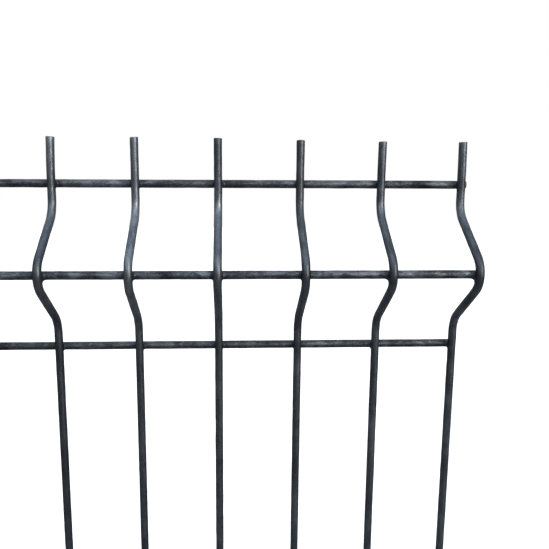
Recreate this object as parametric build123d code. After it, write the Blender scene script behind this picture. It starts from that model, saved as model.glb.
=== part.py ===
from build123d import *
import math
import os

# ---------------------------------------------------------------------------
# Welded mesh fence panel with two V-folds, millimetres.
# +X runs along the panel, +Y points to the back, +Z is up. The origin is the
# middle of the panel's box at the level of the lower wire ends.
# ---------------------------------------------------------------------------

# wires
wire_d = 5.0                # drawn wire, uprights and horizontals alike
wire_r = wire_d / 2
vertical_pitch = 50.0       # upright to upright, axis to axis
vertical_count = 41
side_overhang = 4.4         # horizontals past the axis of the outermost upright
end_round = 0.4             # zinc-softened rim of a sheared wire end
set_down = 0.6              # how far a weld presses the two wires into each other

# heights of the horizontals
panel_height = 1028.0
barb_length = 27.4          # uprights above the axis of the top wire
fold_step = 51.0            # fold edge to apex, apex to fold edge
bay_step = 200.0            # open bays between the folds
bottom_tail = 2.6           # uprights below the axis of the bottom wire

# V-fold, measured on the axis of an upright
fold_vertex_depth = 43.0    # where the two legs of the V would meet without their bend
fold_vertex_half = 34.0     # fold middle to the corner where a leg leaves the plane
bend_r_edge = 16.0          # bend at the upper and lower edge of the fold
bend_r_apex = 13.0          # bend at the apex

# weld collars: a web of weld metal and zinc in the four corners of a crossing
web_upper = 0.9             # concave radius in the two upper corners
web_lower = 1.9             # concave radius in the two lower corners
apex_web_upper = 1.3
apex_web_lower = 1.9
collar_front = 1.4          # front of the web, behind the axis of the upright
collar_back = 2.8
apex_collar_back = 3.6

# ---------------------------------------------------------------------------
# derived
# ---------------------------------------------------------------------------
leg_angle = math.atan2(fold_vertex_depth, fold_vertex_half)
apex_depth = fold_vertex_depth - bend_r_apex * (1 / math.cos(leg_angle) - 1)
axis_gap = 2 * wire_r - set_down                       # upright axis to horizontal axis
depth_front = apex_depth + wire_r
depth_back = axis_gap + wire_r
plane_y = (depth_front - depth_back) / 2               # plane of the uprights
half_span = vertical_pitch * (vertical_count - 1) / 2
half_width = half_span + side_overhang

z_top = panel_height - barb_length
z_apex_1 = z_top - fold_step
z_low_1 = z_apex_1 - fold_step
z_bay_1 = z_low_1 - bay_step
z_bay_2 = z_bay_1 - bay_step
z_up_2 = z_bay_2 - bay_step
z_apex_2 = z_up_2 - fold_step
z_low_2 = z_apex_2 - fold_step
z_bottom = bottom_tail

# name of the wire, height, and whether it lies in the apex of a fold
horizontals = [
    ("top_wire", z_top, False),
    ("upper_fold_apex_wire", z_apex_1, True),
    ("upper_fold_lower_wire", z_low_1, False),
    ("upper_bay_wire", z_bay_1, False),
    ("middle_bay_wire", z_bay_2, False),
    ("lower_fold_upper_wire", z_up_2, False),
    ("lower_fold_apex_wire", z_apex_2, True),
    ("lower_fold_lower_wire", z_low_2, False),
    ("bottom_wire", z_bottom, False),
]
xs = [-half_span + vertical_pitch * i for i in range(vertical_count)]


def unit(v):
    return v / v.length


def bent_wire(points, radii, r):
    """A round wire along straight runs joined by tangent arcs, as one solid."""
    pieces, start, length = [], points[0], 0.0
    for i, radius in enumerate(radii, start=1):
        t_in = unit(points[i] - points[i - 1])
        t_out = unit(points[i + 1] - points[i])
        turn = math.acos(max(-1.0, min(1.0, t_in.dot(t_out))))
        cut = radius * math.tan(turn / 2)
        arc_from = points[i] - t_in * cut
        arc_to = points[i] + t_out * cut
        run = (arc_from - start).length
        pieces.append(
            Solid.make_cylinder(r, run, Plane(origin=start, x_dir=(1, 0, 0), z_dir=t_in))
        )
        normal = unit(t_in.cross(t_out))
        centre = arc_from + normal.cross(t_in) * radius
        section = Plane(origin=arc_from, x_dir=(1, 0, 0), z_dir=t_in) * Circle(r)
        pieces.append(
            revolve(section, Axis(centre, normal), math.degrees(turn)).solids()[0]
        )
        length += run + radius * turn
        start = arc_to
    run = (points[-1] - start).length
    t_end = unit(points[-1] - start)
    pieces.append(
        Solid.make_cylinder(r, run, Plane(origin=start, x_dir=(1, 0, 0), z_dir=t_end))
    )
    length += run
    whole = pieces[0].fuse(*pieces[1:])
    return whole.solids()[0], length


# ---------------------------------------------------------------------------
# upright: sheared at both ends, folded twice towards the front
# ---------------------------------------------------------------------------
route, bends = [Vector(0, 0, 0)], []
for z_fold in (z_apex_2, z_apex_1):
    route += [
        Vector(0, 0, z_fold - fold_vertex_half),
        Vector(0, -fold_vertex_depth, z_fold),
        Vector(0, 0, z_fold + fold_vertex_half),
    ]
    bends += [bend_r_edge, bend_r_apex, bend_r_edge]
route.append(Vector(0, 0, panel_height))
upright, upright_length = bent_wire(route, bends, wire_r)
rims = [
    e
    for e in upright.edges()
    if e.geom_type == GeomType.CIRCLE
    and (abs(e.center().Z) < 1e-6 or abs(e.center().Z - panel_height) < 1e-6)
]
upright = upright.fillet(end_round, rims)

# ---------------------------------------------------------------------------
# horizontals: straight wires with a saddle where each upright is pressed in
# ---------------------------------------------------------------------------


def straight_upright(x):
    """The stretch of an upright at a crossing outside the folds."""
    return Solid.make_cylinder(wire_r, 24, Plane(origin=(x, 0, -12), z_dir=(0, 0, 1)))


def apex_upright(x):
    """The bend of an upright around the wire in a fold's apex."""
    return Solid.make_torus(
        bend_r_apex, wire_r, Plane(origin=(x, bend_r_apex, 0), z_dir=(1, 0, 0))
    )


def horizontal(seat):
    bar = Solid.make_cylinder(
        wire_r,
        2 * half_width,
        Plane(origin=(-half_width, axis_gap, 0), x_dir=(0, 0, 1), z_dir=(1, 0, 0)),
    )
    bar = bar.fillet(end_round, [e for e in bar.edges() if e.geom_type == GeomType.CIRCLE])
    return bar.cut(*[seat(x) for x in xs]).solids()[0]


straight_bar = horizontal(straight_upright)
apex_bar = horizontal(apex_upright)

# ---------------------------------------------------------------------------
# weld collars
# ---------------------------------------------------------------------------


def collar(up, low, back, seat, floor=None):
    """The web around one crossing: a cross-shaped plate with concave corners,
    between the two wires, less the wires themselves."""
    a = wire_r
    k = 1 - math.sqrt(0.5)
    outline = [
        Line((-a, a + up), (a, a + up)),
        ThreePointArc((a, a + up), (a + up * k, a + up * k), (a + up, a)),
        Line((a + up, a), (a + low, -a)),
        ThreePointArc((a + low, -a), (a + low * k, -a - low * k), (a, -a - low)),
        Line((a, -a - low), (-a, -a - low)),
        ThreePointArc((-a, -a - low), (-a - low * k, -a - low * k), (-a - low, -a)),
        Line((-a - low, -a), (-a - up, a)),
        ThreePointArc((-a - up, a), (-a - up * k, a + up * k), (-a, a + up)),
    ]
    face = Plane(origin=(0, collar_front, 0), x_dir=(1, 0, 0), z_dir=(0, -1, 0)) * make_face(outline)
    web = extrude(face, amount=back - collar_front, dir=(0, 1, 0)).solids()[0]
    bar = Solid.make_cylinder(
        wire_r, 40, Plane(origin=(-20, axis_gap, 0), x_dir=(0, 0, 1), z_dir=(1, 0, 0))
    )
    web = web.cut(seat(0), bar)
    if floor is not None:
        web = web.intersect(
            Solid.make_box(40, 40, 40, Plane(origin=(-20, -20, floor)))
        )
    return web.solids()


collars = {
    "straight": collar(web_upper, web_lower, collar_back, straight_upright),
    "apex": collar(apex_web_upper, apex_web_lower, apex_collar_back, apex_upright),
    "bottom": collar(
        web_upper, web_lower, collar_back, straight_upright, floor=-bottom_tail + end_round
    ),
}

# ---------------------------------------------------------------------------
# placing and writing
# ---------------------------------------------------------------------------
os.makedirs("parts", exist_ok=True)

for i, x in enumerate(xs, start=1):
    export_step(
        upright.moved(Location((x, plane_y, 0))), f"parts/vertical_wire_{i:02d}.step"
    )

for name, z, in_apex in horizontals:
    y = plane_y - (apex_depth if in_apex else 0.0)
    bar = apex_bar if in_apex else straight_bar
    export_step(bar.moved(Location((0, y, z))), f"parts/{name}.step")
    kind = "apex" if in_apex else "bottom" if name == "bottom_wire" else "straight"
    row = [s.moved(Location((x, y, z))) for x in xs for s in collars[kind]]
    export_step(Compound(children=row), f"parts/welds_{name}.step")

# ---------------------------------------------------------------------------
# sizes
# ---------------------------------------------------------------------------
area = math.pi * wire_r**2
print("plane_y", round(plane_y, 4), "apex_depth", round(apex_depth, 4))
print("box", round(2 * half_width, 3), round(depth_front + depth_back, 3), panel_height)
print("upright length", round(upright_length, 3), "volume", round(upright.volume, 2),
      "section x length", round(area * upright_length, 2))
print("straight bar", round(straight_bar.volume, 2), "apex bar", round(apex_bar.volume, 2),
      "section x length", round(area * 2 * half_width, 2))
for kind, solids in collars.items():
    print("collar", kind, [round(s.volume, 3) for s in solids], [s.is_valid for s in solids])
for name, z, in_apex in horizontals:
    print(name, round(z, 3), "y", round(plane_y - (apex_depth if in_apex else 0) + axis_gap, 3))
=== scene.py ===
import math

import bpy
import numpy as np
from mathutils import Matrix, Vector


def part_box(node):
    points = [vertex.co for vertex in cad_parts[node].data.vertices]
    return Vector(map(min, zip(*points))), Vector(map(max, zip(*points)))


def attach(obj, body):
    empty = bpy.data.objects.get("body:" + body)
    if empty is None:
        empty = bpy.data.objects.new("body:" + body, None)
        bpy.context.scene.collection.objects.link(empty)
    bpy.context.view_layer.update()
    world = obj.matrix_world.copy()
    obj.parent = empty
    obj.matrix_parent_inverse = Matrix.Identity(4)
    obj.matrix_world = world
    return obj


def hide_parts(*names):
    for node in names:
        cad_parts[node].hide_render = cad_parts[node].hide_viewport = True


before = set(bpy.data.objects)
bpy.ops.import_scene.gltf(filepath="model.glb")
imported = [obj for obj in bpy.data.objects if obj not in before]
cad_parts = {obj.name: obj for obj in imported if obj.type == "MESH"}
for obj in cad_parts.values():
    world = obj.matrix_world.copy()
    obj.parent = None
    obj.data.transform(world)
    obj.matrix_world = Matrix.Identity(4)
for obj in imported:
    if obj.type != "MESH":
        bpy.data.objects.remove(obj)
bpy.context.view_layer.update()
scene = bpy.context.scene

# ---------------------------------------------------------------------------
# The panel's own numbers, in millimetres: wire, folds and the rows of wires.
# ---------------------------------------------------------------------------
MM = 0.001
R = 2.5                     # wire radius
GAP = 4.4                   # upright axis to horizontal axis at a weld
D, H = 43.0, 34.0           # corner points of the fold
R_EDGE, R_APEX = 16.0, 13.0  # bend radii
APEX_DEPTH = D - R_APEX * (1 / math.cos(math.atan2(D, H)) - 1)

UPRIGHTS = ["vertical_wire_%02d" % i for i in range(1, 42)]
BARS = [
    ("top_wire", False),
    ("upper_fold_apex_wire", True),
    ("upper_fold_lower_wire", False),
    ("upper_bay_wire", False),
    ("middle_bay_wire", False),
    ("lower_fold_upper_wire", False),
    ("lower_fold_apex_wire", True),
    ("lower_fold_lower_wire", False),
    ("bottom_wire", False),
]


def box_mm(node):
    low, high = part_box(node)
    return np.array(low) * 1000, np.array(high) * 1000


wire_x = []
for node in UPRIGHTS:
    low, high = box_mm(node)
    wire_x.append((low[0] + high[0]) / 2)
plane_y = box_mm(UPRIGHTS[0])[1][1] - R
HEIGHT = box_mm(UPRIGHTS[0])[1][2]
bar_yz = {}
for node, _ in BARS:
    low, high = box_mm(node)
    bar_yz[node] = ((low[1] + high[1]) / 2, (low[2] + high[2]) / 2)
bar_x = (box_mm("top_wire")[0][0], box_mm("top_wire")[1][0])
apex_z = [bar_yz[n][1] for n, a in BARS if a]        # upper, lower


# ---------------------------------------------------------------------------
# Meshes
# ---------------------------------------------------------------------------
def mesh_object(name, verts_mm, quads, tris=None):
    verts = np.ascontiguousarray(verts_mm * MM, dtype=np.float32)
    mesh = bpy.data.meshes.new(name)
    quads = np.asarray(quads, dtype=np.int32).reshape(-1, 4)
    tris = np.zeros((0, 3), np.int32) if tris is None else np.asarray(tris, np.int32).reshape(-1, 3)
    mesh.vertices.add(len(verts))
    mesh.vertices.foreach_set("co", verts.ravel())
    loops = np.concatenate([quads.ravel(), tris.ravel()])
    starts = np.concatenate([np.arange(len(quads)) * 4, len(quads) * 4 + np.arange(len(tris)) * 3])
    mesh.loops.add(len(loops))
    mesh.loops.foreach_set("vertex_index", loops.astype(np.int32))
    mesh.polygons.add(len(quads) + len(tris))
    mesh.polygons.foreach_set("loop_start", starts.astype(np.int32))
    mesh.update(calc_edges=True)
    mesh.validate()
    mesh.polygons.foreach_set("use_smooth", np.ones(len(mesh.polygons), bool))
    obj = bpy.data.objects.new(name, mesh)
    scene.collection.objects.link(obj)
    return obj


def ring_quads(rings, sides, closed=False):
    i = np.arange(rings if closed else rings - 1)[:, None]
    j = np.arange(sides)[None, :]
    a = i * sides + j
    b = i * sides + (j + 1) % sides
    n = (i + 1) % rings
    c = n * sides + (j + 1) % sides
    d = n * sides + j
    return np.stack([a, b, c, d], axis=-1).reshape(-1, 4)


class Coat:
    """The uneven thickness of a zinc coat on one wire, as a sum of slow waves."""

    def __init__(self, seed, amount=0.045):
        g = np.random.default_rng(seed)
        self.length = np.exp(g.uniform(math.log(7), math.log(70), 12))
        self.turns = g.integers(0, 4, 12)
        self.phase = g.uniform(0, 2 * math.pi, 12)
        self.sign = g.choice([-1, 1], 12)
        self.amount = amount * g.uniform(0.5, 1.0, 12) / math.sqrt(6)

    def __call__(self, s, theta):
        out = np.zeros(np.broadcast(s, theta).shape)
        for k in range(12):
            out += self.amount[k] * np.cos(
                2 * math.pi * s / self.length[k] + self.sign[k] * self.turns[k] * theta + self.phase[k]
            )
        return out


def strip_map(mesh, along, sides, rows):
    """A bake map: the wire unrolled and cut into even lengths, stacked like shelves."""
    total = along[-1] - along[0]
    length = total / rows * 1.001
    mid = (along[:-1] + along[1:]) / 2 - along[0]
    shelf = np.floor(mid / length)                       # per band between two rings
    j = np.arange(sides)
    low, high = j / sides, (j + 1) / sides
    band = np.arange(len(along) - 1)
    u0 = (along[:-1] - along[0] - shelf * length) / length
    u1 = (along[1:] - along[0] - shelf * length) / length
    u0, u1 = (0.004 + 0.992 * np.clip(u, -0.003, 1.003) for u in (u0, u1))

    def v(part):
        return (shelf[:, None] + 0.06 + 0.88 * part[None, :]) / rows

    quads = np.empty((len(band), sides, 4, 2))
    quads[..., 0, 0] = quads[..., 1, 0] = u0[:, None]
    quads[..., 2, 0] = quads[..., 3, 0] = u1[:, None]
    quads[..., 0, 1] = quads[..., 3, 1] = v(low)
    quads[..., 1, 1] = quads[..., 2, 1] = v(high)
    return quads


def tube(name, s, centre, across, side, sides, seed, shift, joint_shade_and_scorch, tone_and_painted_light, smooth, shelves, r=R, push=None):
    """A coated round wire along given rings, with sheared and zinc-softened ends."""
    g = np.random.default_rng(seed + 7)
    theta = np.arange(sides) * 2 * math.pi / sides
    coat = Coat(seed)
    rad = r + coat(s[:, None], theta[None, :])
    along = np.cross(across, side)
    out = across[:, None, :] * np.cos(theta)[None, :, None] + side[:, None, :] * np.sin(theta)[None, :, None]
    body = centre[:, None, :] + out * rad[:, :, None]
    if push is not None:
        body = push(body)

    def end(index, sign):
        """Rings from the full wire to the middle of its sheared end."""
        tip, t = centre[index], along[index] * sign
        turn = g.uniform(0, 2 * math.pi)
        rim = 0.30 * (1 + 0.55 * np.cos(theta - turn)) + g.uniform(0.08, 0.22)
        lean = 0.16 * g.uniform(0.2, 1.0) * np.cos(theta - turn)
        rows, run, wide = [], [], []
        for a in np.radians([0, 20, 40, 60, 78, 90]):
            reach = -rim * (1 - math.sin(a)) - (0.12 + lean) * math.sin(a)
            rr = rad[index] - rim * (1 - math.cos(a))
            rows.append(tip + t * reach[:, None] + out[index] * rr[:, None])
            run.append(s[index] + sign * (reach.mean() + 0.3 * (rad[index].mean() - rr.mean())))
            wide.append(rr)
        flat = rad[index] - rim
        for f, dip in ((0.72, 0.02), (0.40, 0.05)):
            reach = -(0.12 + lean * f) - dip
            rows.append(tip + t * reach[:, None] + out[index] * (flat * f)[:, None])
            run.append(s[index] + sign * (0.05 + (1 - f) * flat.mean()))
            wide.append(flat * f)
        return rows, run, wide, tip - t * 0.18, s[index] + sign * (0.05 + flat.mean())

    low_rows, low_run, low_wide, low_mid, low_end = end(0, -1)
    high_rows, high_run, high_wide, high_mid, high_end = end(-1, 1)
    inner = (s > s[0] + 0.95) & (s < s[-1] - 0.95)
    rows = low_rows[::-1] + list(body[inner]) + high_rows
    run = np.concatenate([low_run[::-1], s[inner], high_run])
    wide = np.concatenate([low_wide[::-1], rad[inner], high_wide])
    verts = np.concatenate([np.array(rows).reshape(-1, 3), [low_mid, high_mid]])
    n = len(rows)
    quads = ring_quads(n, sides)
    j = np.arange(sides)
    k = (j + 1) % sides
    a, b = n * sides, n * sides + 1
    last = (n - 1) * sides
    tris = np.concatenate(
        [
            np.stack([np.full(sides, a), k, j], axis=1),
            np.stack([np.full(sides, b), last + j, last + k], axis=1),
        ]
    )
    obj = mesh_object(name, verts, quads, tris)
    # the wire's own coordinates, straightened out: across, across, along
    co = np.stack(
        [wide * np.cos(theta), wide * np.sin(theta), np.repeat(run[:, None], sides, 1) + shift], axis=-1
    ).reshape(-1, 3)
    co = np.concatenate([co, [[0, 0, low_end + shift], [0, 0, high_end + shift]]])
    ends = np.array([low_end, high_end])
    points(obj, "wire_co", co)
    # the darkening at each crossing, weld scorch and painted shade between the wires, kept per vertex
    points(obj, "joint_shade_and_scorch", np.concatenate([joint_shade_and_scorch(run[:, None], theta[None, :]).ravel(), joint_shade_and_scorch(ends, np.zeros(2))]))
    # the tone of each ring, which on the uprights carries painted highlights and painted shade
    points(obj, "tone_and_painted_light", np.concatenate([np.repeat(tone_and_painted_light(run), sides), tone_and_painted_light(ends)]))
    points(obj, "smooth", np.full(len(co), smooth))
    full = np.concatenate([[low_end], run, [high_end]])
    uv = strip_map(obj.data, full, sides, shelves)
    corners = np.concatenate(
        [
            uv[1:-1].reshape(-1, 2),
            np.stack([(uv[0, :, 0] + uv[0, :, 1]) / 2, uv[0, :, 2], uv[0, :, 3]], axis=1).reshape(-1, 2),
            np.stack([(uv[-1, :, 2] + uv[-1, :, 3]) / 2, uv[-1, :, 0], uv[-1, :, 1]], axis=1).reshape(-1, 2),
        ]
    )
    bake_map(obj, corners)
    return obj


def points(obj, name, values):
    """A value for each vertex, kept with the mesh for its material."""
    values = np.asarray(values, np.float32)
    kind, field = ("FLOAT_VECTOR", "vector") if values.ndim == 2 else ("FLOAT", "value")
    obj.data.attributes.new(name, kind, "POINT").data.foreach_set(field, values.ravel())


def bake_map(obj, corners):
    layer = obj.data.uv_layers.new(name="OFBake", do_init=False)
    layer.uv.foreach_set("vector", np.ascontiguousarray(corners, np.float32).ravel())


class Slow:
    """A slow random wave along a wire, around zero."""

    def __init__(self, seed, low=25.0, high=240.0, amount=1.0):
        g = np.random.default_rng(seed)
        self.k = 2 * math.pi / np.exp(g.uniform(math.log(low), math.log(high), 7))
        self.p = g.uniform(0, 2 * math.pi, 7)
        self.a = amount * g.uniform(0.4, 1.0, 7) / math.sqrt(3.5)

    def __call__(self, s):
        s = np.asarray(s, float)
        return (self.a * np.cos(s[..., None] * self.k + self.p)).sum(-1)


def run_points(a, b, step):
    n = max(1, int(math.ceil(abs(b - a) / step)))
    return np.linspace(a, b, n + 1)[:-1]


def upright_route(step=3.0, bend_step=1.1):
    """Rings along the axis of an upright: arc length, (y, z) and unit tangent."""
    pts, radii = [(0.0, 0.0)], []
    for z in sorted(apex_z):
        pts += [(0.0, z - H), (-D, z), (0.0, z + H)]
        radii += [R_EDGE, R_APEX, R_EDGE]
    pts.append((0.0, HEIGHT))
    pts = np.array(pts)
    s0, rows, start = 0.0, [], pts[0]
    for i, rad in enumerate(radii, start=1):
        t0 = (pts[i] - pts[i - 1]) / np.linalg.norm(pts[i] - pts[i - 1])
        t1 = (pts[i + 1] - pts[i]) / np.linalg.norm(pts[i + 1] - pts[i])
        cross = t0[0] * t1[1] - t0[1] * t1[0]
        turn = math.acos(float(np.clip(t0 @ t1, -1, 1)))
        cut = rad * math.tan(turn / 2)
        a = pts[i] - t0 * cut
        run = np.linalg.norm(a - start)
        for x in run_points(0, run, step):
            rows.append((s0 + x, *(start + t0 * x), *t0))
        s0 += run
        sign = 1.0 if cross > 0 else -1.0
        n0 = np.array([-t0[1], t0[0]]) * sign
        for x in run_points(0, rad * turn, bend_step):
            w = x / rad
            p = a + t0 * rad * math.sin(w) + n0 * rad * (1 - math.cos(w))
            t = t0 * math.cos(w) + n0 * math.sin(w)
            rows.append((s0 + x, *p, *t))
        s0 += rad * turn
        start = pts[i] + t1 * cut
    t = (pts[-1] - start) / np.linalg.norm(pts[-1] - start)
    run = np.linalg.norm(pts[-1] - start)
    for x in run_points(0, run, step):
        rows.append((s0 + x, *(start + t * x), *t))
    rows.append((s0 + run, *pts[-1], *t))
    return np.array(rows)


route = upright_route(4.0)
pieces_upright, pieces_bar, pieces_weld = [], [], []
weld_s = [float(np.interp(bar_yz[n][1], route[:, 2], route[:, 0])) for n, _ in BARS]


def near(values, places, width):
    """1 at each place, falling to 0 over the width."""
    d = np.min(np.abs(np.asarray(values, float)[..., None] - np.array(places)), axis=-1)
    return np.exp(-((d / width) ** 2))


# Near each crossing the upright is darkened, most on its back where the horizontal lies: partly weld scorch, partly
# painted shade between the two wires.
def upright_joint_shade_and_scorch(s, theta):
    back = 0.5 + 0.5 * np.sin(theta)
    return near(s, weld_s, 6.0) * (0.35 + 0.65 * back)


# how bright the zinc of each upright is, with painted highlights near the top and in the apex and painted shade lower
# down; the last six stand at the right edge
tone = list(np.random.default_rng(77).uniform(0.80, 1.30, len(UPRIGHTS)))
tone[-6:] = [1.12, 1.42, 1.24, 0.87, 0.92, 0.84]
barb = list(np.random.default_rng(78).uniform(0.72, 1.12, len(UPRIGHTS)))
barb[-6:] = [1.32, 0.78, 0.59, 0.98, 0.94, 1.28]
# painted highlight: how much lighter each upright is painted just below the top wire
bend_highlight = list(np.random.default_rng(79).uniform(0.0, 0.6, len(UPRIGHTS)))
bend_highlight[-6:] = [0.50, 0.60, 0.42, 0.0, 0.34, 0.42]
# painted light in the apex: lighter where positive, darker where negative
crest_painted_light = list(np.random.default_rng(80).uniform(-0.25, 0.20, len(UPRIGHTS)))
crest_painted_light[-6:] = [-0.36, 0.44, 0.22, 0.0, -0.14, -0.02]
# painted shade: the tone of each upright from the upper fold down, mostly darker than above
foot_shade = list(np.random.default_rng(81).uniform(0.70, 0.90, len(UPRIGHTS)))
foot_shade[-6:] = [0.62, 0.78, 0.80, 0.82, 0.86, 0.88]
# how much lower than the others each upright was cut, and how far its free end leans
top_cut = list(np.random.default_rng(82).uniform(-0.3, 1.4, len(UPRIGHTS)))
top_cut[-6:] = [-0.3, -0.3, 0.1, 1.0, 1.5, 1.4]
top_lean = list(np.random.default_rng(83).uniform(-0.5, 0.5, len(UPRIGHTS)))
top_lean[-6:] = [0.6, 0.0, 0.0, 0.0, 0.1, -0.4]


def tone_with_painted_foot_shade(s, bright, low):
    """The wire's own tone towards the top; from the upper fold down, a painted shade, mostly darker, that stays even
    further down.
    """
    w = np.clip((np.asarray(s, float) - weld_s[2] + 15) / 75, 0, 1)
    return low + (bright - low) * w * w * (3 - 2 * w)


def painted_bend_light(s, highlight_gain, apex):
    """Painted light in the colour: a painted highlight just below the top wire, and a painted highlight or painted
    shade, by a random amount, in the apex.
    """
    return 1 + highlight_gain * near(s, [weld_s[0] - 15], 12.0) + apex * near(s, [weld_s[1] + 9], 9.0)


def barb_tone(s, dull):
    """The free end above the top wire, duller or brighter than the wire below it."""
    w = np.clip((np.asarray(s, float) - weld_s[0]) / 6, 0, 1)
    return 1 + (dull - 1) * w


for i, node in enumerate(UPRIGHTS):
    last = route[-1] - np.array([top_cut[i], 0.0, top_cut[i], 0.0, 0.0])
    rings = np.concatenate([route[route[:, 0] < last[0] - 0.5], [last]])
    n = len(rings)
    lean = top_lean[i] * np.clip((rings[:, 0] - weld_s[0]) / 27, 0, 1.1) ** 1.5
    centre = np.stack([wire_x[i] + lean, plane_y + rings[:, 1], rings[:, 2]], axis=1)
    tangent = np.stack([np.zeros(n), rings[:, 3], rings[:, 4]], axis=1)
    across = np.tile([1.0, 0.0, 0.0], (n, 1))
    side = np.cross(tangent, across)
    slow = Slow(700 + i, 14.0, 120.0, 0.13)
    obj = tube(
        "upright_%02d" % (i + 1), rings[:, 0], centre, across, side, 20, 100 + i, 131.0 * i,
        upright_joint_shade_and_scorch, lambda s, i=i, slow=slow: tone_with_painted_foot_shade(s, tone[i], foot_shade[i]) * painted_bend_light(s, bend_highlight[i], crest_painted_light[i])
        * barb_tone(s, barb[i]) * (1 + slow(s)), 0.18, 8,
    )
    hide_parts(node)
    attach(obj, "root")
    pieces_upright.append(obj)


# how much shorter than the longest each horizontal was cut, left and right
bar_cut = [(0.0, 0.0), (0.5, 0.9), (0.2, 0.8), (0.7, 0.1), (0.0, 0.6), (0.4, 0.3), (0.8, 0.5), (0.1, 0.7), (0.0, 0.0)]


def bar_rings(first, last):
    marks = [first, last]
    for x in wire_x:
        marks += list(x + np.array([-3.2, -2.4, -1.6, -0.8, 0, 0.8, 1.6, 2.4, 3.2]))
    marks = sorted(m for m in marks if first <= m <= last)
    out = []
    for a, b in zip(marks[:-1], marks[1:]):
        out += list(run_points(a, b, 4.0))
    out.append(marks[-1])
    return np.array(out)


def saddle(apex, y_up, z_bar):
    """Presses the front of a horizontal back to the skin of each upright."""

    def push(body):
        out = body.copy()
        for x in wire_x:
            near = np.abs(out[..., 0] - x) < R
            p = out[near]
            if apex:
                c = np.array([y_up + R_APEX, z_bar])
                v = p[:, 1:] - c
                d = np.linalg.norm(v, axis=1)
                lat = p[:, 0] - x
                inner = R_APEX - np.sqrt(np.maximum(R * R - lat * lat, 0))
                bad = d > inner
                v[bad] *= (inner[bad] / d[bad])[:, None]
                p[:, 1:] = c + v
            else:
                lat = p[:, 0] - x
                skin = y_up + np.sqrt(np.maximum(R * R - lat * lat, 0))
                p[:, 1] = np.maximum(p[:, 1], skin)
            out[near] = p
        return out

    return push


# Near each crossing the horizontal is darkened, most on its front where the upright lies: partly weld scorch, partly
# painted shade between the two wires.
def bar_joint_shade_and_scorch(s, theta):
    front = 0.5 - 0.5 * np.cos(theta)
    return near(s, wire_x, 4.6) * (0.5 + 0.5 * front)


bar_smooth = [0.45, 0.65, 0.35, 0.6, 0.5, 0.55, 0.65, 0.4, 0.6]
bar_tone = [0.97, 0.88, 0.80, 0.95, 0.90, 0.95, 0.86, 0.84, 0.92]
bar_seed = [2578, 2664, 5526, 803, 804, 805, 806, 807, 808]
bar_shift = [33, 4, 5, 6, 7, 8, 9, 10, 11]
for i, (node, apex) in enumerate(BARS):
    y, z = bar_yz[node]
    bar_s = bar_rings(bar_x[0] + bar_cut[i][0], bar_x[1] - bar_cut[i][1])
    n = len(bar_s)
    centre = np.stack([bar_s, np.full(n, y), np.full(n, z)], axis=1)
    across = np.tile([0.0, 1.0, 0.0], (n, 1))
    side = np.tile([0.0, 0.0, 1.0], (n, 1))
    slow = Slow(bar_seed[i], 9.0, 120.0, 0.26)
    obj = tube(
        node.replace("_wire", "_bar"), bar_s, centre, across, side, 20, 300 + i, 2311.0 * bar_shift[i],
        bar_joint_shade_and_scorch, lambda s, i=i, slow=slow: bar_tone[i] * (1 + slow(s)), bar_smooth[i], 11,
        push=saddle(apex, y - GAP, z),
    )
    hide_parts(node)
    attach(obj, "root")
    pieces_bar.append(obj)


# ---------------------------------------------------------------------------
# Weld collars: a concave skin of weld metal and zinc between the two wires.
# ---------------------------------------------------------------------------
AROUND, ACROSS = 44, 9


def to_upright(p, apex):
    """Distance from points to the skin of the upright at a crossing."""
    if apex:
        d = np.hypot(np.hypot(p[..., 1] - R_APEX, p[..., 2]) - R_APEX, p[..., 0])
    else:
        d = np.hypot(p[..., 0], p[..., 1])
    return d - R


def to_bar(p):
    return np.hypot(p[..., 1] - GAP, p[..., 2]) - R


def on_upright(alpha, z, apex):
    """A point on the upright's skin: alpha is 90 degrees at its back."""
    if apex:
        w = z / R_APEX
        rr = R_APEX - R * np.sin(alpha)
        return np.stack([R * np.cos(alpha), R_APEX - rr * np.cos(w), rr * np.sin(w)], axis=-1)
    return np.stack([R * np.cos(alpha), R * np.sin(alpha), z], axis=-1)


def on_bar(beta, x):
    """A point on the horizontal's skin: beta is 90 degrees at its front."""
    return np.stack([x, GAP - R * np.sin(beta), R * np.cos(beta)], axis=-1)


def solve(f, low, high):
    """The place between low and high where rising f passes zero."""
    for _ in range(40):
        mid = (low + high) / 2
        above = f(mid) > 0
        high = np.where(above, mid, high)
        low = np.where(above, low, mid)
    return (low + high) / 2


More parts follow.
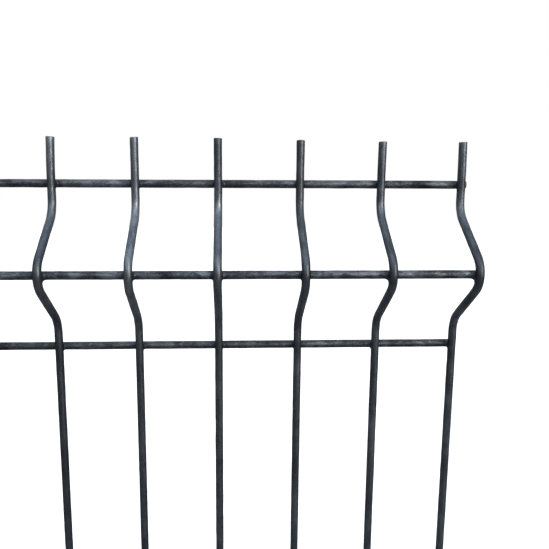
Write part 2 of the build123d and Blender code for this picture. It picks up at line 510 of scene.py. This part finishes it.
def weld_mesh(seed, apex, low_k, high_k, floor=None):
    g = np.random.default_rng(seed)
    phi = np.arange(AROUND) * 2 * math.pi / AROUND
    sn, cs = np.sin(phi), np.cos(phi)
    mid, amp = (low_k + high_k) / 2, (low_k - high_k) / 2
    tilt = g.uniform(-0.22, 0.22)
    wob = [(m, g.uniform(-0.12, 0.12), g.uniform(0, 2 * math.pi)) for m in (2, 3, 4, 5)]

    def k_of(sin_a, cos_a, ang):
        k = mid - amp * sin_a + tilt * cos_a
        for m, a, ph in wob:
            k = k + a * np.cos(m * ang + ph)
        return np.clip(k, 1.2, 4.15)

    k = k_of(sn, cs, phi)
    quarter = np.abs(np.arctan2(np.abs(sn), np.abs(cs))) / (math.pi / 2)    # 0 along the bar, 1 along the upright
    # edge of the web on the upright
    a_min = solve(lambda a: k - to_bar(on_upright(a, np.zeros_like(a), apex)), np.full(AROUND, -math.pi / 2), np.full(AROUND, math.pi / 2))
    alpha = a_min + (math.pi / 2 - a_min) * quarter
    z_up = solve(lambda z: to_bar(on_upright(alpha, z, apex)) - k, np.zeros(AROUND), np.full(AROUND, 14.0))
    pu = on_upright(alpha, z_up, apex)
    pu[:, 0] *= np.where(cs < 0, -1, 1)
    pu[:, 2] *= np.where(sn < 0, -1, 1)
    # edge of the web on the horizontal
    b_min = solve(lambda b: k - to_upright(on_bar(b, np.zeros_like(b)), apex), np.full(AROUND, -math.pi / 2), np.full(AROUND, math.pi / 2))
    beta = b_min + (math.pi / 2 - b_min) * (1 - quarter)
    x_bar = solve(lambda x: to_upright(on_bar(beta, x), apex) - k, np.zeros(AROUND), np.full(AROUND, 14.0))
    pb = on_bar(beta, x_bar)
    pb[:, 0] *= np.where(cs < 0, -1, 1)
    pb[:, 2] *= np.where(sn < 0, -1, 1)
    t = np.linspace(0, 1, ACROSS)[None, :, None]
    p = pu[:, None, :] * (1 - t) + pb[:, None, :] * t

    def field(q):
        ang = np.arctan2(q[..., 2], q[..., 0])
        kk = k_of(np.sin(ang), np.cos(ang), ang)
        a, b = to_upright(q, apex), to_bar(q)
        return np.maximum(kk, np.minimum(a, b)) - np.hypot(np.maximum(kk - a, 0), np.maximum(kk - b, 0))

    e = 1e-3
    for _ in range(14):
        f = field(p)
        grad = np.stack([(field(p + d) - field(p - d)) / (2 * e) for d in np.eye(3) * e], axis=-1)
        size = np.maximum((grad**2).sum(-1), 0.05)
        p = p - np.clip(f / size, -0.5, 0.5)[..., None] * grad
    # the two outer rows sink a little into the wires
    p[:, 0] = pu - 0.06 * (pu - np.stack([pu[:, 0] * 0, pu[:, 1] * 0, pu[:, 2]], -1)) / R
    p[:, -1] = pb - 0.06 * (pb - np.stack([pb[:, 0], pb[:, 1] * 0 + GAP, pb[:, 2] * 0], -1)) / R
    if floor is not None:
        p[..., 2] = np.maximum(p[..., 2], floor)
    core = np.stack([0.35 * cs * R, np.full(AROUND, GAP / 2), 0.35 * sn * R], axis=-1)
    verts = np.concatenate([p.transpose(1, 0, 2), core[None]], axis=0)      # rings, around, 3
    return verts.reshape(-1, 3)


weld_quads = ring_quads(ACROSS + 1, AROUND, closed=True)[:, [0, 3, 2, 1]]
for i, (node, apex) in enumerate(BARS):
    y, z = bar_yz[node]
    parts, quads = [], []
    for j, x in enumerate(wire_x):
        g = np.random.default_rng(9000 + 50 * i + j)
        low_k = g.uniform(2.7, 3.5) if apex else g.uniform(2.0, 3.2)
        high_k = g.uniform(1.2, 1.5)
        floor = -2.45 if node == "bottom_wire" else None
        v = weld_mesh(5000 + 50 * i + j, apex, low_k, high_k, floor)
        v = v + np.array([x, y - GAP, z])
        v[:, 0] = np.clip(v[:, 0], bar_x[0] + bar_cut[i][0] + 0.15, bar_x[1] - bar_cut[i][1] - 0.15)
        quads.append(weld_quads + len(parts) * len(v))
        parts.append(v)
    obj = mesh_object("welds_" + node.replace("_wire", "_bar"), np.concatenate(parts), np.concatenate(quads))
    ring, turn = np.meshgrid(np.arange(ACROSS + 1), np.arange(AROUND), indexing="ij")
    cell = np.stack(
        [
            np.stack([turn + a, ring + b], axis=-1) / [AROUND, ACROSS + 1]
            for a, b in ((0, 0), (0, 1), (1, 1), (1, 0))
        ], axis=2,
    ).reshape(-1, 4, 2) * 0.92 + 0.04
    bake_map(obj, np.concatenate(
        [(cell + [j % 5, j // 5]) / [5, 9] for j in range(len(wire_x))]).reshape(-1, 2))
    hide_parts("welds_" + node)
    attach(obj, "root")
    pieces_weld.append(obj)


# ---------------------------------------------------------------------------
# Zinc: dark blue-grey, satin, mottled; its grain is drawn out along each wire.
# ---------------------------------------------------------------------------
def zinc(name, on_wire, dark, mid, pale, pale_at, fleck_scale, fleck_most, rough, bump, streak):
    mat = bpy.data.materials.new(name)
    mat.use_nodes = True
    nt = mat.node_tree
    nt.nodes.clear()
    link = nt.links.new
    out = nt.nodes.new("ShaderNodeOutputMaterial")
    bsdf = nt.nodes.new("ShaderNodeBsdfPrincipled")
    link(bsdf.outputs[0], out.inputs[0])
    bsdf.inputs["Metallic"].default_value = 0.9
    bsdf.inputs["Specular IOR Level"].default_value = 0.4
    if on_wire:
        co = nt.nodes.new("ShaderNodeAttribute")
        co.attribute_name = "wire_co"
        place = co.outputs["Vector"]
    else:
        co = nt.nodes.new("ShaderNodeTexCoord")
        big = nt.nodes.new("ShaderNodeMapping")
        big.inputs["Scale"].default_value = (1000.0, 1000.0, 1000.0)
        link(co.outputs["Object"], big.inputs["Vector"])
        place = big.outputs[0]

    def noise(scale, detail, roughness, offset, distortion=0.0):
        m = nt.nodes.new("ShaderNodeMapping")
        m.inputs["Scale"].default_value = scale
        m.inputs["Location"].default_value = offset
        link(place, m.inputs["Vector"])
        n = nt.nodes.new("ShaderNodeTexNoise")
        n.inputs["Scale"].default_value = 1.0
        n.inputs["Detail"].default_value = detail
        n.inputs["Roughness"].default_value = roughness
        n.inputs["Distortion"].default_value = distortion
        link(m.outputs[0], n.inputs["Vector"])
        return n.outputs[0]

    def span(value, a, b, c, d):
        r = nt.nodes.new("ShaderNodeMapRange")
        for key, v in (("From Min", a), ("From Max", b), ("To Min", c), ("To Max", d)):
            r.inputs[key].default_value = v
        link(value, r.inputs["Value"])
        return r.outputs[0]

    def maths(op, a, b):
        m = nt.nodes.new("ShaderNodeMath")
        m.operation = op
        for socket, v in zip(m.inputs, (a, b)):
            if isinstance(v, float):
                socket.default_value = v
            else:
                link(v, socket)
        return m.outputs[0]

    def mix(factor, a, b, kind="MIX"):
        m = nt.nodes.new("ShaderNodeMix")
        m.data_type = "RGBA"
        m.blend_type = kind
        for socket, v in ((m.inputs["Factor"], factor), (m.inputs["A"], a), (m.inputs["B"], b)):
            if isinstance(v, tuple):
                socket.default_value = (*v, 1.0)
            elif isinstance(v, float):
                socket.default_value = v
            else:
                link(v, socket)
        return m.outputs["Result"]

    def attribute(key):
        n = nt.nodes.new("ShaderNodeAttribute")
        n.attribute_name = key
        return n.outputs["Fac"]

    fx, fz = fleck_scale
    cloud = noise((0.16, 0.16, 0.045), 3.0, 0.6, (3.1, 1.7, 0.4))
    patch = noise((0.42, 0.42, 0.13), 4.0, 0.62, (8.4, 0.9, 6.6), 0.6)
    fleck = noise((fx, fx, fz), 4.0, 0.66, (0.3, 5.2, 2.6), 0.4)
    lines = noise((2.6, 2.6, 0.055), 2.0, 0.5, (1.3, 9.1, 4.4))
    grain = noise((2.3, 2.3, 2.3), 3.0, 0.6, (7.7, 2.2, 4.9))

    colour = mix(span(cloud, 0.30, 0.70, 0.0, 1.0), dark, mid)
    colour = mix(span(patch, 0.52, 0.62, 0.0, 0.85), colour, dark)
    colour = mix(span(fleck, pale_at, pale_at + 0.17, 0.0, fleck_most), colour, pale)
    pits = noise((1.1, 1.1, 0.7), 2.0, 0.5, (2.9, 3.3, 0.8))
    gloss = span(maths("ADD", fleck, maths("MULTIPLY", grain, 0.35)), 0.45, 0.85, rough + 0.12, rough - 0.08)
    if on_wire:
        sheet = noise((0.22, 0.22, 0.085), 3.0, 0.5, (4.6, 7.3, 1.9), 0.5)
        sheet = maths("MULTIPLY", span(sheet, 0.50, 0.57, 0.0, 1.0), attribute("smooth"))
        colour = mix(sheet, colour, pale)
        gloss = maths("SUBTRACT", gloss, maths("MULTIPLY", sheet, 0.06))
    colour = mix(span(pits, 0.69, 0.74, 0.0, 0.85), colour, (0.012, 0.012, 0.013))
    tone = maths(
        "MULTIPLY",
        span(lines, 0.25, 0.75, 1 - streak, 1 + 0.9 * streak),
        span(grain, 0.25, 0.75, 1 - streak, 1 + streak),
    )
    if on_wire:
        # the tone kept with the mesh, on the uprights with painted highlights and painted shade
        tone = maths("MULTIPLY", tone, attribute("tone_and_painted_light"))
        # darkens the colour near each crossing: weld scorch and painted shade between the wires
        joint_darkening = maths("MULTIPLY", attribute("joint_shade_and_scorch"), span(patch, 0.30, 0.60, 1.1, 0.55))
        tone = maths("MULTIPLY", tone, span(joint_darkening, 0.0, 1.0, 1.0, 0.30))
        rust = maths("MULTIPLY", attribute("joint_shade_and_scorch"), span(cloud, 0.48, 0.60, 0.0, 0.60))
        colour = mix(rust, colour, (0.105, 0.085, 0.066))
    shade = nt.nodes.new("ShaderNodeCombineXYZ")
    for socket in shade.inputs:
        link(tone, socket)
    colour = mix(1.0, colour, shade.outputs[0], "MULTIPLY")
    link(colour, bsdf.inputs["Base Color"])

    link(gloss, bsdf.inputs["Roughness"])

    last = None
    for height, distance in ((patch, bump * 1.4), (fleck, bump), (lines, bump * 0.35), (grain, bump * 0.3)):
        n = nt.nodes.new("ShaderNodeBump")
        n.inputs["Strength"].default_value = 0.8
        n.inputs["Distance"].default_value = distance
        link(height, n.inputs["Height"])
        if last is not None:
            link(last, n.inputs["Normal"])
        last = n.outputs[0]
    link(last, bsdf.inputs["Normal"])
    return mat


mat_upright = zinc(
    "zinc_upright", True, (0.120, 0.134, 0.149), (0.235, 0.258, 0.284), (0.360, 0.384, 0.410),
    0.56, (0.90, 0.22), 1.0, 0.40, 0.00006, 0.18,
)
mat_bar = zinc(
    "zinc_bar", True, (0.082, 0.090, 0.100), (0.180, 0.196, 0.215), (0.400, 0.424, 0.452),
    0.51, (0.90, 0.50), 0.60, 0.50, 0.00009, 0.27,
)
mat_weld = zinc(
    "zinc_weld", False, (0.070, 0.079, 0.090), (0.125, 0.139, 0.155), (0.200, 0.216, 0.232),
    0.58, (0.8, 0.8), 1.0, 0.44, 0.00010, 0.24,
)
for objs, mat in ((pieces_upright, mat_upright), (pieces_bar, mat_bar), (pieces_weld, mat_weld)):
    for o in objs:
        o.data.materials.clear()
        o.data.materials.append(mat)

# ---------------------------------------------------------------------------
# Stage: pale floor, soft light, white surroundings.
# ---------------------------------------------------------------------------
me = bpy.data.meshes.new("floor")
me.from_pydata([(-12, -12, 0), (12, -12, 0), (12, 12, 0), (-12, 12, 0)], [], [(0, 1, 2, 3)])
floor = bpy.data.objects.new("floor", me)
scene.collection.objects.link(floor)
fm = bpy.data.materials.new("floor_pale")
fm.use_nodes = True
fb = fm.node_tree.nodes["Principled BSDF"]
fb.inputs["Base Color"].default_value = (0.93, 0.93, 0.93, 1)
fb.inputs["Roughness"].default_value = 0.9
fb.inputs["Specular IOR Level"].default_value = 0.0
fb.inputs["Emission Color"].default_value = (1, 1, 1, 1)
fb.inputs["Emission Strength"].default_value = 0.92
me.materials.append(fm)
floor.visible_glossy = False
floor.visible_diffuse = False

world = bpy.data.worlds.new("surroundings")
scene.world = world
world.use_nodes = True
wn = world.node_tree
wn.nodes.clear()
wout = wn.nodes.new("ShaderNodeOutputWorld")
seen = wn.nodes.new("ShaderNodeBackground")
seen.inputs["Color"].default_value = (1, 1, 1, 1)
seen.inputs["Strength"].default_value = 1.0
room = wn.nodes.new("ShaderNodeBackground")
wco = wn.nodes.new("ShaderNodeTexCoord")
wsep = wn.nodes.new("ShaderNodeSeparateXYZ")
wn.links.new(wco.outputs["Generated"], wsep.inputs[0])
wramp = wn.nodes.new("ShaderNodeValToRGB")
wmap = wn.nodes.new("ShaderNodeMapRange")
wmap.inputs["From Min"].default_value = -1.0
wmap.inputs["From Max"].default_value = 1.0
wn.links.new(wsep.outputs["Z"], wmap.inputs["Value"])
wn.links.new(wmap.outputs[0], wramp.inputs[0])
sky = (
    (0.0, (0.140, 0.153, 0.168)),
    (0.36, (0.140, 0.153, 0.168)),
    (0.50, (0.110, 0.121, 0.135)),
    (1.0, (0.53, 0.60, 0.70)),
)
steps = wramp.color_ramp.elements
while len(steps) < len(sky):
    steps.new(0.5)
for k, (at, col) in enumerate(sky):
    steps[k].position = at
    steps[k].color = (*col, 1.0)
wn.links.new(wramp.outputs[0], room.inputs["Color"])
room.inputs["Strength"].default_value = 1.0
wmix = wn.nodes.new("ShaderNodeMixShader")
path = wn.nodes.new("ShaderNodeLightPath")
wn.links.new(path.outputs["Is Camera Ray"], wmix.inputs[0])
wn.links.new(room.outputs[0], wmix.inputs[1])
wn.links.new(seen.outputs[0], wmix.inputs[2])
wn.links.new(wmix.outputs[0], wout.inputs[0])


def area(name, place, target, size, glow, colour):
    """A soft box whose face has the given brightness."""
    light = bpy.data.lights.new(name, "AREA")
    light.shape = "RECTANGLE"
    light.size, light.size_y = size
    light.energy = glow * math.pi * size[0] * size[1]
    light.color = colour
    obj = bpy.data.objects.new(name, light)
    obj.location = place
    obj.rotation_euler = (Vector(target) - Vector(place)).to_track_quat("-Z", "Y").to_euler()
    scene.collection.objects.link(obj)
    return obj


area("softbox_above", (0.4, -2.3, 3.3), (0.4, 0.0, 0.9), (5.4, 2.8), 0.27, (0.80, 0.90, 1.0))
area("softbox_right", (3.41, -2.99, 1.95), (0.9, 0.0, 0.95), (2.3, 2.5), 3.1, (1.0, 0.955, 0.89))
area("softbox_front", (0.4, -3.4, 2.05), (0.6, 0.0, 0.95), (3.2, 1.4), 0.48, (0.98, 0.985, 1.0))
area("softbox_behind", (-0.6, 2.6, 2.6), (0.0, 0.0, 0.6), (3.4, 1.8), 0.20, (0.95, 0.98, 1.0))

# ---------------------------------------------------------------------------
# Camera at the photograph's viewing angle, on the panel's upper right corner.
# ---------------------------------------------------------------------------
cam_data = bpy.data.cameras.new("camera")
cam = bpy.data.objects.new("camera", cam_data)
scene.collection.objects.link(cam)
scene.camera = cam
F_PX, CX, CY, SIZE = 579.119, 251.45, 271.85, 549.0
yaw, pitch, roll = 0.042, -0.158, -0.004
cam_data.sensor_fit = "HORIZONTAL"
cam_data.sensor_width = 36.0
cam_data.lens = F_PX * 36.0 / SIZE
cam_data.shift_x = (SIZE / 2 - CX) / SIZE
cam_data.shift_y = (CY - SIZE / 2) / SIZE
cam_data.clip_start = 0.01
cam_data.clip_end = 60.0
fwd = Vector((math.sin(yaw) * math.cos(pitch), math.cos(yaw) * math.cos(pitch), math.sin(pitch)))
right = Vector((math.cos(yaw), -math.sin(yaw), 0))
down = fwd.cross(right)
r2 = right * math.cos(roll) + down * math.sin(roll)
d2 = down * math.cos(roll) - right * math.sin(roll)
m = Matrix((r2, -d2, -fwd)).transposed().to_4x4()
m.translation = Vector((105.535 + wire_x[-6], -356.227 + plane_y, 2.723 + bar_yz["top_wire"][1])) * MM
cam.matrix_world = m

scene.view_settings.view_transform = "Standard"
scene.view_settings.look = "None"
scene.view_settings.exposure = 0.0
scene.view_settings.gamma = 1.0
